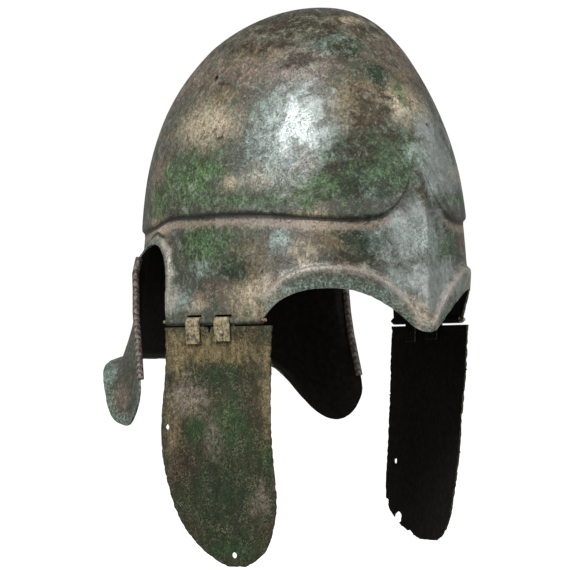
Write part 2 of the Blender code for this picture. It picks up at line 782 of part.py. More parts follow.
def add_cheekpiece(side, joint, length, up):
    grid = plate_points(side)
    grid[..., 2] *= up
    mesh = grid_mesh("cheekpiece", grid, flip=up > 0)
    plate = add_object(f"cheekpiece_{side}", mesh, "corroded bronze", joint)
    wall = plate.modifiers.new("Wall", "SOLIDIFY")
    wall.thickness = PLATE_WALL
    wall.offset = 0
    depth = CUTTER_DEPTH * (PLATE_BULGE + PLATE_WALL)
    cuts = []
    for strap in STRAPS:
        along, _ = strap_seat(strap, length)
        cuts.append((f"rivet hole {strap[0]}", along, -RIVET_DROP, RIVET_RADIUS + HINGE_GAP, ROUND_SIDES))
    half, long = PLATE_WIDTH / 2, PLATE_LENGTH[side]
    if side == "right":
        breaks = RIGHT_BREAKS
        cuts.append(
            ("tie hole", TIE_HOLE_FORWARD, TIE_HOLE_RISE - PLATE_DROP - long, TIE_HOLE_RADIUS, TIE_HOLE_SIDES)
        )
    else:
        breaks = LEFT_BREAKS
        across, down = SLOT_PLACE
        x = PLATE_FORWARD + across * half
        cuts.append(("slot", x, -PLATE_DROP - down * long, TIE_HOLE_RADIUS, SLOT_SIDES))
    for number, (across, down, radius, sides) in enumerate(breaks):
        x = PLATE_FORWARD + across * half
        cuts.append((f"break {number}", x, -PLATE_DROP - down * long, radius * PLATE_WIDTH, sides))
    for name, x, z, radius, sides in cuts:
        cutter = polygon_prism(name, x, z * up, radius, sides, depth)
        combine(plate, add_cutter(f"{name} {side}", cutter, joint), "DIFFERENCE")
    if side == "right":
        between = (strap_seat(STRAPS[0], length)[0] + strap_seat(STRAPS[1], length)[0]) / 2
        top, bottom = NOTCH_DEPTH - PLATE_DROP, -NOTCH_DEPTH - PLATE_DROP
        corners = ((between - NOTCH_WIDTH / 2, top), (between + NOTCH_WIDTH / 2, top), (between, bottom))
        notch = prism("notch", [(x, z * up) for x, z in corners], depth)
        combine(plate, add_cutter(f"notch {side}", notch, joint), "DIFFERENCE")
    return plate


def strap_mesh(along, width, leg, up):
    """A strip bent over the pin, its two legs down either side of the plate."""
    inner = loop_bore()
    outer = inner + STRAP_WALL
    turns = np.linspace(0, math.pi, STRAP_BEND_SIDES + 1)
    lines = []
    for radius in (inner, outer):
        bend = [(radius * math.cos(turn), radius * math.sin(turn)) for turn in turns]
        lines.append([(radius, -leg)] + bend + [(-radius, -leg)])
    count = len(lines[0])
    points = []
    for end in (-width / 2, width / 2):
        for line in lines:
            points += [(along + end, y, z * up) for y, z in line]
    faces = []
    for i in range(count - 1):
        a, b = i, i + 1
        faces.append((a, b, count + b, count + a))
        faces.append((2 * count + b, 2 * count + a, 3 * count + a, 3 * count + b))
        faces.append((b, a, 2 * count + a, 2 * count + b))
        faces.append((count + a, count + b, 3 * count + b, 3 * count + a))
    faces.append((0, count, 3 * count, 2 * count))
    last = count - 1
    faces.append((last + count, last, 2 * count + last, 3 * count + last))
    mesh = mesh_of("strap", points, faces)
    form = bmesh.new()
    form.from_mesh(mesh)
    bmesh.ops.recalc_face_normals(form, faces=form.faces)
    form.to_mesh(mesh)
    form.free()
    return mesh


def rivet_mesh():
    """A rivet along local Y: a shank between two low domed heads."""
    reach = loop_bore() + STRAP_WALL + HINGE_GAP
    profile = tuple(
        (RIVET_HEAD_RADIUS * out, reach + RIVET_HEAD_HEIGHT * high) for out, high in RIVET_HEAD_PROFILE
    )
    profile += ((RIVET_RADIUS, reach),)
    profile += tuple((radius, -height) for radius, height in reversed(profile))
    form = bmesh.new()
    points = [form.verts.new((radius, height, 0)) for radius, height in profile]
    edges = [form.edges.new(pair) for pair in zip(points, points[1:])]
    bmesh.ops.spin(
        form,
        geom=points + edges,
        axis=(0, 1, 0),
        cent=(0, 0, 0),
        angle=2 * math.pi,
        steps=ROUND_SIDES - 2,
        use_merge=True,
    )
    bmesh.ops.remove_doubles(form, verts=form.verts, dist=1e-6)
    bmesh.ops.recalc_face_normals(form, faces=form.faces)
    mesh = bpy.data.meshes.new("rivet")
    form.to_mesh(mesh)
    form.free()
    return mesh


def add_cheek(side):
    """A cheekpiece with its straps and rivets, all carried by an empty on the hinge's axis."""
    place, length = plate_frame(side)
    up = 1 if place.col[2].z > 0 else -1
    joint = bpy.data.objects.new(f"hinge {side}", None)
    bpy.context.scene.collection.objects.link(joint)
    joint.matrix_world = place
    add_cheekpiece(side, joint, length, up)
    for strap in STRAPS:
        along, width = strap_seat(strap, length)
        mesh = strap_mesh(along, width, STRAP_LENGTH * strap[3], up)
        thing = add_object(f"strap_{side}_{strap[0]}", mesh, "corroded bronze", joint)
        depth = CUTTER_DEPTH * (loop_bore() + STRAP_WALL)
        hole = polygon_prism("hole", along, -RIVET_DROP * up, RIVET_RADIUS + HINGE_GAP, ROUND_SIDES, depth)
        combine(thing, add_cutter(f"strap hole {side} {strap[0]}", hole, joint), "DIFFERENCE")
        seat = Matrix.Translation((along, 0, -RIVET_DROP * up))
        add_object(f"rivet_{side}_{strap[0]}", rivet_mesh(), "corroded bronze", joint, seat)


def main():
    clear_scene()
    bowl = add_bowl()
    for side in SIDES:
        add_pin(side, bowl)
        add_cheek(side)


main()
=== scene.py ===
# %% [markdown]
# # A bronze Chalcidian helmet
#
# The helmet was hammered from one sheet of bronze and buried for more than two thousand years.
# Its shape is already in the frame, so this script makes what time did to it: a skin of green,
# teal, tan and brown copper minerals, worn smooth in some places and eaten into pits in others.

import json
import math
from functools import partial

import bmesh
import bpy
import numpy as np
from mathutils import Matrix, Vector, noise
from mathutils.bvhtree import BVHTree
from mathutils.kdtree import KDTree

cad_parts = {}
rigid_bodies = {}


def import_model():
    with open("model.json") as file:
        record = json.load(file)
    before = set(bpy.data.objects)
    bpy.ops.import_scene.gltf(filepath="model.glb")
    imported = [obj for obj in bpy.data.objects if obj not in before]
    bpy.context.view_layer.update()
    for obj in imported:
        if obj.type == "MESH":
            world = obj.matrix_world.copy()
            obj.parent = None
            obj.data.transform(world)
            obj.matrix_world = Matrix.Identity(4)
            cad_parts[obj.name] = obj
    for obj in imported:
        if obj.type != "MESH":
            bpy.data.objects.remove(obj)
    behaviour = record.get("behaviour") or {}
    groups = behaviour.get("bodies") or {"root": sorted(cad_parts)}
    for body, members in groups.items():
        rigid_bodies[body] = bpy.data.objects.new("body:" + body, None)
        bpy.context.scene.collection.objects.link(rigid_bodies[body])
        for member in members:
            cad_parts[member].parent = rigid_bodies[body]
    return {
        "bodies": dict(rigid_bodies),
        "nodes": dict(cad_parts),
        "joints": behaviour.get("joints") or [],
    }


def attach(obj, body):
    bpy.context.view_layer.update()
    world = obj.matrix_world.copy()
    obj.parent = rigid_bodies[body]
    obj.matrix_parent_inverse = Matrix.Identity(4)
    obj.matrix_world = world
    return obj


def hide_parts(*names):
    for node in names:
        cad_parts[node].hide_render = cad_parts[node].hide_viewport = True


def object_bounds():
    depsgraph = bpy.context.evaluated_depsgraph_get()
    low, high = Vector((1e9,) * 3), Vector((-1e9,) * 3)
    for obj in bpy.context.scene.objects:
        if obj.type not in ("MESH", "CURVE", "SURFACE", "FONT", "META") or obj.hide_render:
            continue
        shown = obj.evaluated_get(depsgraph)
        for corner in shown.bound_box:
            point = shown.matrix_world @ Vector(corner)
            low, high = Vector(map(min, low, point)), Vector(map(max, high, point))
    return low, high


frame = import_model()
cad_low, cad_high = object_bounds()
MM = 0.001
print("nodes:", sorted(frame["nodes"]))
print("box:", [round(side * 1000, 1) for side in cad_high - cad_low], "mm")

# %% [markdown]
# ## The camera
#
# A photograph of a tall thing looks calm when it is taken from far away with a long lens, because
# upright lines then stay upright. The camera here stands two metres off, level with the lower
# edge of the temple, 40 degrees round from the front. It looks level, and the picture is shifted
# up instead of tilted.

# %% Place the camera
IMAGE_SIDE = 570
CAMERA_TURN = math.radians(40)
CAMERA_DISTANCE = 2.0
AIM = Vector((0, 0.036, -0.1924))
MM_PER_PIXEL = 0.655
PIXELS_UP = 23
SENSOR = 36

camera_data = bpy.data.cameras.new("camera")
camera = bpy.data.objects.new("camera", camera_data)
bpy.context.scene.collection.objects.link(camera)
back = Vector((-math.sin(CAMERA_TURN), -math.cos(CAMERA_TURN), 0))
right = Vector((math.cos(CAMERA_TURN), -math.sin(CAMERA_TURN), 0))
up = Vector((0, 0, 1))
camera.location = AIM + back * CAMERA_DISTANCE
camera.rotation_euler = (math.radians(90), 0, -CAMERA_TURN)
camera_data.sensor_width = SENSOR
camera_data.lens = SENSOR * CAMERA_DISTANCE / MM / (MM_PER_PIXEL * IMAGE_SIDE)
camera_data.shift_y = PIXELS_UP / IMAGE_SIDE
bpy.context.scene.camera = camera
print("lens:", round(camera_data.lens, 1), "mm")

# %% [markdown]
# ## Finding a place on the metal
#
# The stains are part of this very helmet, so they are placed where the photograph has them. A
# ray through a pixel of the picture meets the metal at one point, and that point is where the
# stain goes. It then belongs to the surface and stays there from every side.

# %% Send a ray through a pixel
def surface_of(node):
    mesh = frame["nodes"][node].data
    mesh.calc_loop_triangles()
    faces = [tuple(face.vertices) for face in mesh.loop_triangles]
    return BVHTree.FromPolygons([vertex.co for vertex in mesh.vertices], faces)


def seen_at(surface, pixel):
    """Where the ray through that pixel first meets the surface, and its outward direction there."""
    across = (pixel[0] - IMAGE_SIDE / 2) / IMAGE_SIDE
    above = (IMAGE_SIDE / 2 - pixel[1]) / IMAGE_SIDE + camera_data.shift_y
    ray = -back + (right * across + up * above) * SENSOR / camera_data.lens
    place, normal, _, _ = surface.ray_cast(camera.location, ray.normalized())
    return place, normal


surfaces = {node: surface_of(node) for node in ("bowl", "cheekpiece_right", "cheekpiece_left")}
HIGHLIGHT_PIXEL = (299, 124)
highlight, highlight_normal = seen_at(surfaces["bowl"], HIGHLIGHT_PIXEL)
print("highlight at", [round(value, 3) for value in highlight])

# %% [markdown]
# ## Copies to dress
#
# The frame's metal is made of flat faces. A merged copy of each piece gets its triangles joined
# into quads, and a Subdivision Surface rounds it. Creases hold the edges that are crisp on the
# real sheet, and the metal round the hinge lines stays as it is so that the wires still fit.

# %% Copy, crease and round a piece
MERGE_DISTANCE = 0.01 * MM


def pick(piece):
    """Makes the piece the only one that an operator acts on."""
    bpy.ops.object.select_all(action="DESELECT")
    piece.select_set(True)
    bpy.context.view_layer.objects.active = piece


def merged_copy(node, name):
    piece = bpy.data.objects.new(name, frame["nodes"][node].data.copy())
    bpy.context.scene.collection.objects.link(piece)
    pick(piece)
    bpy.ops.mesh.customdata_custom_splitnormals_clear()
    bpy.ops.object.mode_set(mode="EDIT")
    bpy.ops.mesh.select_all(action="SELECT")
    bpy.ops.mesh.remove_doubles(threshold=MERGE_DISTANCE)
    limit = math.radians(40)
    bpy.ops.mesh.tris_convert_to_quads(face_threshold=limit, shape_threshold=limit)
    bpy.ops.object.mode_set(mode="OBJECT")
    piece.data.materials.clear()
    return piece


def crease(piece, angles, fixed=None):
    """Creases each edge by how sharply its faces meet, and fully where fixed says so of its place."""
    form = bmesh.new()
    form.from_mesh(piece.data)
    layer = form.edges.layers.float.new("crease_edge")
    for edge in form.edges:
        angle = math.degrees(edge.calc_face_angle(0))
        edge[layer] = next((hold for limit, hold in angles if angle > limit), 0)
        if fixed and all(fixed(vertex.co) for vertex in edge.verts):
            edge[layer] = 1
    form.to_mesh(piece.data)
    form.free()


def apply_modifier(piece, kind, **settings):
    pick(piece)
    modifier = piece.modifiers.new(kind, kind)
    for name, value in settings.items():
        setattr(modifier, name, value)
    bpy.ops.object.modifier_apply(modifier=modifier.name)


def hinge_distance(point):
    """How far a point is from the nearer hinge's axis."""
    gaps = []
    for joint in frame["joints"]:
        axis = Vector(joint["axis"]).normalized()
        gaps.append((point - Vector(joint["pos_m"])).cross(axis).length)
    return min(gaps)

# %% [markdown]
# ## The bowl
#
# The real bowl is one sheet, thin and even, with a keel, a stepped brow and arches over the eyes.
# Its copy is rounded at two levels, which is about one face for each two millimetres. That is
# fine enough to carry painted stains and the small losses along the rims.

# %% Round the bowl and keep its crests
HINGE_REACH = 6.5 * MM
RIM_TURN = 60
CREST_TURN = 12
BROW_FLOOR = -0.150
EAR_MIDDLE = 0.055
HEAD_MIDDLE = Vector((0, 0.03, -0.1))


def looks_out(normal, place):
    """Whether a face there looks away from the middle of the head."""
    spoke = place - HEAD_MIDDLE
    spoke.z = max(0, spoke.z)
    return normal.dot(spoke.normalized()) > -0.3


bowl = merged_copy("bowl", "bowl_dressed")
crease(bowl, ((RIM_TURN, 0.9), (30, 0.35)), lambda point: hinge_distance(point) < HINGE_REACH)
rim_points = []
crest_points = []
groove_points = []
form = bmesh.new()
form.from_mesh(bowl.data)
for edge in form.edges:
    ends = [vertex.co.copy() for vertex in edge.verts]
    turn = math.degrees(edge.calc_face_angle_signed(0))
    outer = all(looks_out(face.normal, face.calc_center_median()) for face in edge.link_faces)
    above = min(end.z for end in ends) > BROW_FLOOR
    if min(hinge_distance(end) for end in ends) < HINGE_REACH:
        continue
    if turn > RIM_TURN:
        line = rim_points
    elif outer and above and turn < -CREST_TURN:
        line = groove_points
    elif outer and not above and turn > CREST_TURN and ends[0].y < EAR_MIDDLE:
        line = crest_points
    else:
        continue
    line.extend(ends[0].lerp(ends[1], step / 4) for step in range(5))
form.free()
apply_modifier(bowl, "SUBSURF", levels=2, render_levels=2)
print("bowl:", len(bowl.data.polygons), "faces")

# %% [markdown]
# ## Corroded edges
#
# Thin bronze is lost first along its edges, so a rim that was once a clean cut line is now
# slightly nibbled. Each vertex is pushed inwards along its own normal by a soft noise, more at
# the rims than on the open sheet. Nothing moves outwards, so the helmet keeps its size.

# %% Eat into a surface
SHEET_WAVE = 9 * MM
BITE_SIZE = 3.5 * MM


def smooth_noise(point, size, seed):
    """A noise from 0 to 1 whose blobs are about that size in metres."""
    return 0.5 + 0.5 * noise.noise(point / size + Vector((seed, seed, seed)))


def closeness(points, reach):
    """A function that gives 1 on the points and falls to 0 at that reach from them."""
    tree = KDTree(len(points))
    for index, point in enumerate(points):
        tree.insert(point, index)
    tree.balance()
    return lambda place: max(0, 1 - tree.find(place)[2] / reach)


def eat(piece, loss_at, kept=None):
    """Pushes each vertex inwards along its normal by the loss at its place, apart from the kept ones."""
    places = [vertex.co.copy() for vertex in piece.data.vertices]
    normals = [vertex.normal.copy() for vertex in piece.data.vertices]
    for index, (place, normal) in enumerate(zip(places, normals)):
        if not (kept and kept(place)):
            places[index] = place - normal * loss_at(place)
    piece.data.vertices.foreach_set("co", np.array(places).ravel())
    piece.data.update()


def rim_bite(place):
    """From 0 to 1, how hard the rim is bitten there."""
    return max(0, smooth_noise(place, BITE_SIZE, 7) - 0.45) / 0.55


near_rim = closeness(rim_points, 3 * MM)
border_points = [point for point in rim_points if point.z < BROW_FLOOR]
beside_border = closeness(border_points, 18 * MM)
KEEL_HALF = 6 * MM
crest_points = [
    point for point in crest_points if beside_border(point) > 0 and abs(point.x) > KEEL_HALF
]
near_crest = closeness(crest_points, 6 * MM)
SHEET_LOSS = 0.12 * MM
RIM_LOSS = 0.7 * MM
eat(
    bowl,
    lambda place: SHEET_LOSS * smooth_noise(place, SHEET_WAVE, 3)
    + RIM_LOSS * near_rim(place) * rim_bite(place),
    lambda place: hinge_distance(place) < HINGE_REACH,
)
print("rim:", len(rim_points), "crests:", len(crest_points), "grooves:", len(groove_points), "points")

# %% [markdown]
# ## Cheekpieces
#
# Each cheekpiece is a flat hammered plate that hangs from a wire by two straps. The strip of
# plate beside the wire keeps its exact shape. The rest is remeshed into small even squares, so
# the crust and the chewed border can be real relief, since light rakes across this plate and a
# painted relief would look flat.

# %% Split each cheekpiece below its top strip
TOP_STRIP = 5 * MM
PLATE_GRAIN = 0.75 * MM


def cut_below_top(piece, joint, keep_top):
    """Cuts the piece by a plane just under its hinge and keeps one side, closed again."""
    axis = Vector(joint["axis"]).normalized()
    down = Vector((0, 0, -1))
    down = (down - axis * down.dot(axis)).normalized()
    pick(piece)
    bpy.ops.object.mode_set(mode="EDIT")
    bpy.ops.mesh.select_all(action="SELECT")
    bpy.ops.mesh.bisect(
        plane_co=Vector(joint["pos_m"]) + down * TOP_STRIP,
        plane_no=down,
        use_fill=True,
        clear_inner=not keep_top,
        clear_outer=keep_top,
    )
    bpy.ops.object.mode_set(mode="OBJECT")


plates = {}
tops = {}
joint_of = {"right": "cheek_hinge_right", "left": "cheek_hinge_left"}
for side in joint_of:
    joint = next(joint for joint in frame["joints"] if joint["name"] == joint_of[side])
    tops[side] = merged_copy(f"cheekpiece_{side}", f"cheek_top_{side}")
    cut_below_top(tops[side], joint, True)
    plates[side] = merged_copy(f"cheekpiece_{side}", f"cheek_plate_{side}")
    cut_below_top(plates[side], joint, False)
    plates[side].data.remesh_voxel_size = PLATE_GRAIN
    bpy.ops.object.voxel_remesh()
    print(side, "plate:", len(plates[side].data.polygons), "faces, top strip:", len(tops[side].data.polygons))

# %% Chew the plates' borders and roughen their faces
PLATE_LOSS = 0.2 * MM
GRAIN_LOSS = 0.28 * MM
BORDER_LOSS = 0.9 * MM
PLATE_CRUMB = 1.6 * MM

for side, plate in plates.items():
    joint = next(joint for joint in frame["joints"] if joint["name"] == joint_of[side])
    fore = Vector(joint["axis"]).normalized()
    out = fore.cross(Vector((0, 0, 1))).normalized()
    border = [vertex.co.copy() for vertex in plate.data.vertices if abs(vertex.normal.dot(out)) < 0.5]
    near_border = closeness(border, 3.5 * MM)
    top = max(vertex.co.z for vertex in plate.data.vertices)
    eat(
        plate,
        lambda place: PLATE_LOSS * smooth_noise(place, SHEET_WAVE, 3)
        + GRAIN_LOSS * smooth_noise(place, PLATE_CRUMB, 11)
        + BORDER_LOSS * near_border(place) * rim_bite(place),
        lambda place: place.z > top - 2 * MM,
    )
    print(side, "border points:", len(border))

# %% [markdown]
# ## Where each mineral sits
#
# Buried bronze doesn't turn one colour. Malachite makes greens, chloride and tin oxides make
# pale teal, cuprite and soil make browns and tans, and where a hand has rubbed it the metal
# shows grey. Each is painted as a soft amount on the vertices, at the place the photograph has
# it, and the material later breaks each patch up with noise.

# %% Place the spots
KINDS = ("tan", "beige", "ochre", "teal", "green", "dark_green", "worn", "specks", "dark")
# kind, then the middle of the spot across and down, then its half width and half height, in pixels
BOWL_SPOTS = (
    ("tan", 255, 62, 64, 34), ("dark", 290, 24, 50, 20), ("beige", 345, 20, 15, 6),
    ("beige", 206, 126, 36, 26), ("green", 190, 176, 34, 30), ("green", 250, 199, 80, 8),
    ("teal", 275, 140, 32, 62), ("dark_green", 366, 168, 44, 36), ("ochre", 352, 100, 30, 36),
    ("dark", 372, 110, 24, 34), ("tan", 310, 60, 30, 20), ("dark_green", 378, 75, 9, 46),
    # the dark spot at 422, 186 is painted shade in the fold on the inner edge of the right lobe
    ("worn", 438, 160, 26, 54), ("dark", 422, 186, 5, 22), ("dark_green", 340, 45, 24, 14),
    ("teal", 337, 44, 18, 12), ("dark", 338, 45, 5, 5), ("ochre", 260, 53, 22, 10),
    ("ochre", 222, 96, 15, 9), ("dark", 222, 84, 8, 2), ("dark", 220, 139, 4, 4),
    ("ochre", 396, 101, 6, 6), ("ochre", 346, 175, 9, 10), ("beige", 262, 176, 20, 16),
    ("teal", 380, 185, 22, 18), ("tan", 158, 175, 8, 40), ("worn", 302, 124, 34, 48),
    ("specks", 278, 150, 44, 54), ("specks", 366, 165, 50, 40), ("green", 160, 200, 12, 20),
    ("tan", 158, 236, 12, 22), ("beige", 160, 228, 10, 12), ("green", 208, 246, 30, 22),
    ("dark_green", 200, 240, 22, 18), ("ochre", 250, 262, 20, 40), ("dark_green", 238, 272, 16, 16),
    ("teal", 200, 268, 11, 10), ("teal", 281, 240, 14, 14), ("beige", 302, 252, 18, 14),
    ("ochre", 330, 240, 24, 15), ("dark", 350, 259, 18, 12), ("dark", 330, 166, 12, 10),
    ("dark", 300, 60, 20, 10), ("dark", 250, 46, 30, 8), ("green", 399, 92, 6, 34),
    ("green", 326, 164, 10, 16), ("beige", 232, 182, 12, 10), ("dark", 360, 150, 20, 14),
    ("dark", 392, 130, 12, 20), ("dark_green", 372, 240, 24, 24), ("teal", 376, 246, 10, 8),
    ("dark_green", 350, 236, 20, 16), ("dark_green", 378, 236, 16, 14), ("worn", 426, 238, 46, 36),
    ("specks", 436, 246, 30, 24), ("specks", 372, 245, 26, 22), ("worn", 444, 280, 36, 28),
    ("beige", 256, 298, 26, 22), ("ochre", 262, 274, 20, 16), ("ochre", 245, 304, 22, 16),
    ("tan", 232, 298, 26, 14), ("beige", 194, 306, 16, 8), ("tan", 205, 296, 16, 8),
    ("teal", 180, 300, 14, 12), ("worn", 285, 289, 6, 4), ("beige", 425, 318, 14, 14),
    ("tan", 122, 350, 10, 50), ("dark", 139, 330, 3, 40), ("teal", 108, 374, 9, 12),
    ("green", 135, 337, 3, 20), ("tan", 118, 400, 12, 16),
)
PLATE_SPOTS = (
    ("ochre", 215, 350, 46, 20), ("tan", 176, 352, 12, 26), ("tan", 266, 385, 7, 50),
    ("beige", 188, 398, 22, 20), ("dark_green", 222, 374, 30, 15), ("green", 232, 425, 20, 30),
    ("dark_green", 214, 490, 46, 50), ("dark", 182, 466, 16, 24), ("beige", 214, 440, 12, 24),
    ("beige", 258, 500, 12, 18), ("tan", 172, 430, 8, 40), ("green", 235, 552, 26, 10),
    ("dark_green", 226, 535, 32, 20), ("green", 268, 460, 8, 17), ("green", 196, 430, 12, 14),
)
SPOT_SPREAD = 1.3


def spot_at(surface, spot):
    """The spot's kind, centre, half width and half height on the surface, in metres."""
    kind, across, down, half_width, half_height = spot
    place, normal = seen_at(surface, (across, down))
    if place is None:
        return None
    facing = max(0.35, abs(normal.dot(back)))
    width = SPOT_SPREAD * half_width * MM_PER_PIXEL * MM / facing
    return kind, place, width, SPOT_SPREAD * half_height * MM_PER_PIXEL * MM


def hidden_copies(surface, spots, turns):
    """The same spots again where the photograph doesn't look: turned about the crown, snapped on."""
    copies = []
    for turn in turns:
        spin = Matrix.Rotation(math.radians(turn), 3, "Z")
        for kind, place, width, height in spots:
            moved = spin @ (place - AIM) + AIM
            moved, normal, _, _ = surface.find_nearest(moved)
            if normal.dot(back) < 0.1:
                copies.append((kind, moved, width, height))
    return copies


def paint(piece, spots):
    """One float attribute a kind: 1 in the middle of its spots and falling through 0 at their edge."""
    count = len(piece.data.vertices)
    places = np.empty(count * 3)
    piece.data.vertices.foreach_get("co", places)
    places = places.reshape(-1, 3)
    for kind in KINDS:
        amount = np.full(count, -1.0)
        for _, centre, width, height in (spot for spot in spots if spot[0] == kind):
            apart = places - np.array(centre)
            level = np.hypot(apart[:, 0], apart[:, 1]) / width
            amount = np.maximum(amount, 1 - np.hypot(level, apart[:, 2] / height))
        layer = piece.data.attributes.new(kind, "FLOAT", "POINT")
        layer.data.foreach_set("value", amount.astype(np.float32))


seen = [spot_at(surfaces["bowl"], spot) for spot in BOWL_SPOTS]
print("spots that missed the bowl:", [spot[:3] for spot, found in zip(BOWL_SPOTS, seen) if not found])
seen = [spot for spot in seen if spot]
paint(bowl, seen + hidden_copies(surfaces["bowl"], seen, (75, 130, 180, 235, 290)))

plate_seen = [spot_at(surfaces["cheekpiece_right"], spot) for spot in PLATE_SPOTS]
plate_seen = [spot for spot in plate_seen if spot]
mirror = Matrix.Diagonal((-1, 1, 1))
paint(plates["right"], plate_seen)
paint(tops["right"], plate_seen)
plate_other = [(kind, mirror @ place, width, height) for kind, place, width, height in plate_seen]
paint(plates["left"], plate_other)
paint(tops["left"], plate_other)
print("spots:", len(seen), "on the bowl,", len(plate_seen), "on each cheekpiece")

# %% Mark the rims, the crests and the step under the brow
def mark(piece, name, amount_at):
    layer = piece.data.attributes.new(name, "FLOAT", "POINT")
    layer.data.foreach_set("value", [amount_at(vertex.co) for vertex in piece.data.vertices])


SHOULDER_DROP = Vector((0, 0, 4.5 * MM))
TENT_HALF = 24 * MM
groove_points = [point for point in groove_points if abs(point.x) > TENT_HALF]
near_groove = closeness(groove_points, 2.2 * MM)
near_shoulder = closeness([point - SHOULDER_DROP for point in groove_points], 5 * MM)
near_border = closeness(border_points, 13 * MM)
mark(bowl, "rim", near_border)
# the crest mark is rubbed metal and a painted highlight along the arches' crests
mark(bowl, "crest_rub_and_highlight", near_crest)
# the groove mark is where painted shade goes under the brow step
mark(bowl, "groove_shade", near_groove)
mark(bowl, "shoulder", near_shoulder)
print("marked the rims, crests, grooves and the shoulder under the brow")

# %% [markdown]
# ## Materials
#
# Every colour is given as a screen colour and turned to light by one function. Every
# pattern takes its size in millimetres. One small function adds any node with its settings and
# links, by the short names in a table, and the rest is steps of laying one mineral over another.

# %% Turn a screen colour to light
def colour(screen):
    """A screen colour such as #8A8070 as linear light."""
    parts = [int(screen[index : index + 2], 16) / 255 for index in (1, 3, 5)]
    return [part / 12.92 if part <= 0.04045 else ((part + 0.055) / 1.055) ** 2.4 for part in parts] + [1]


def per(size_mm):
    """The scale of a pattern whose blobs are about that many millimetres across."""
    return 1 / (size_mm * MM)


print("middle grey is", round(colour("#808080")[0], 3), "as light")

# %% Add any node
NODES = {
    "place": ("ShaderNodeTexCoord", {}, (), "Object"),
    "painted": ("ShaderNodeAttribute", {}, (), "Fac"),
    "stretch": ("ShaderNodeMapping", {}, ("Vector", "Scale"), 0),
    "noise": ("ShaderNodeTexNoise", {}, ("Vector", "Scale", "Detail", "Roughness", "Distortion"), 0),
    "waves": ("ShaderNodeTexWave", {}, ("Vector", "Scale", "Distortion", "Detail"), "Fac"),
    "rise": (
        "ShaderNodeMapRange",
        {"interpolation_type": "SMOOTHSTEP"},
        ("Value", "From Min", "From Max"),
        0,
    ),
    "times": ("ShaderNodeMath", {"operation": "MULTIPLY"}, (0, 1), 0),
    "plus": ("ShaderNodeMath", {"operation": "ADD"}, (0, 1), 0),
    "larger": ("ShaderNodeMath", {"operation": "MAXIMUM"}, (0, 1), 0),
    "lay": ("ShaderNodeMix", {"data_type": "RGBA"}, (6, 7, 0), 2),
    "bump": ("ShaderNodeBump", {}, ("Height", "Distance", "Strength"), 0),
    "shader": (
        "ShaderNodeBsdfPrincipled",
        {},
        (
            "Base Color", "Roughness", "Metallic", "Normal",
            "Specular IOR Level", "Emission Color", "Emission Strength",
        ),
        0,
    ),
    "output": ("ShaderNodeOutputMaterial", {}, ("Surface",), 0),
    "light path": ("ShaderNodeLightPath", {}, (), "Is Camera Ray"),
}


def node(tree, kind, *values, **settings):
    """Adds a node, sets it, links or fills its inputs in the table's order and gives its output."""
    type_name, fixed, inputs, output = NODES[kind]
    made = tree.nodes.new(type_name)
    for name, value in (fixed | settings).items():
        setattr(made, name, value)
    for name, value in zip(inputs, values):
        if isinstance(value, bpy.types.NodeSocket):
            tree.links.new(value, made.inputs[name])
        else:
            made.inputs[name].default_value = value
    return made.outputs[output] if made.outputs else made


print("short names:", sorted(NODES))

# %% Start and end a material
def new_material(name):
    """An empty node material, and the function that adds its nodes."""
    material = bpy.data.materials.new(name)
    material.use_nodes = True
    material.node_tree.nodes.clear()
    return material, partial(node, material.node_tree)


def surface(add, base, roughness, metallic, height, gloss=0.5, glow=0.0):
    """Ends the material. Its height is in millimetres, and gloss is the shader's specular level."""
    bump = add("bump", height, MM, 1.0)
    add("output", add("shader", base, roughness, metallic, bump, gloss, colour("#FFFFFF"), glow))

# %% [markdown]
# ### Stains in two tones
#
# A real stain has no clean outline. It is thick where the soil lay against the metal and thins
# out to flecks. So each painted spot is added to a rough noise, and the sum rises softly from
# bare to covered. In the middle of a spot nearly all is covered, and outside it only flecks are.

# %% Lay the minerals
SPOT_FLOOR = -0.45
FLECKS = 2.0
SPOT_PULL = 0.8


def patch(add, place, kind, size_mm):
    """Where a mineral shows: in a few places anywhere, and in most of its painted spots."""
    spots = add("larger", add("painted", attribute_name=kind), SPOT_FLOOR)
    flecks = add("plus", add("noise", place, per(size_mm), 9, 0.72, 0.5), -0.5)
    sum_of_both = add("plus", add("times", flecks, FLECKS), add("times", spots, SPOT_PULL))
    return add("rise", sum_of_both, 0.02, 0.6)


def mineral_colour(add, place, ground, minerals, grain):
    """The ground with each mineral laid over it in two tones, and where each one lies."""
    broad = add("rise", add("noise", place, per(13), 8, 0.7), 0.42, 0.58)
    result = add("lay", colour(ground[0]), colour(ground[1]), broad)
    result = add("lay", result, colour(ground[2]), add("times", add("rise", grain, 0.52, 0.62), 0.6))
    patches = {}
    for kind, dark, light, strength, size_mm in minerals:
        tone = add("lay", colour(dark), colour(light), add("rise", grain, 0.34, 0.66))
        patches[kind] = patch(add, place, kind, size_mm)
        result = add("lay", result, tone, add("times", patches[kind], strength))
    return result, patches

# %% [markdown]
# ### Patinated bronze
#
# The bowl is tin bronze, hammered to shape and buried. Its common name now is bronze with a
# natural patina. Hammering left the sheet smooth, so the patina is thin and takes a soft sheen:
# the eye sees a satin skin, shiny where it is worn to grey and matt where green crust is thick.
# The minerals cover the metal, so it reflects as a stone does, apart from the worn places.

# %% Choose the bowl's minerals
# kind, dark tone, light tone, strength, size of its flecks in millimetres
BOWL_MINERALS = (
    ("tan", "#33281C", "#715F50", 0.8, 11),
    ("ochre", "#281E10", "#66542F", 0.8, 9),
    ("beige", "#6A5C47", "#B3A489", 0.84, 8),
    ("teal", "#43524B", "#87968E", 0.75, 7),
    ("dark_green", "#091009", "#22341F", 0.92, 12),
    ("green", "#1A2E18", "#566F4A", 0.76, 10),
    ("worn", "#6A716D", "#8F9693", 0.8, 14),
    ("dark", "#17140E", "#382D20", 0.85, 8),
)
BOWL_GROUND = ("#2B251A", "#2D3223", "#4D5746")

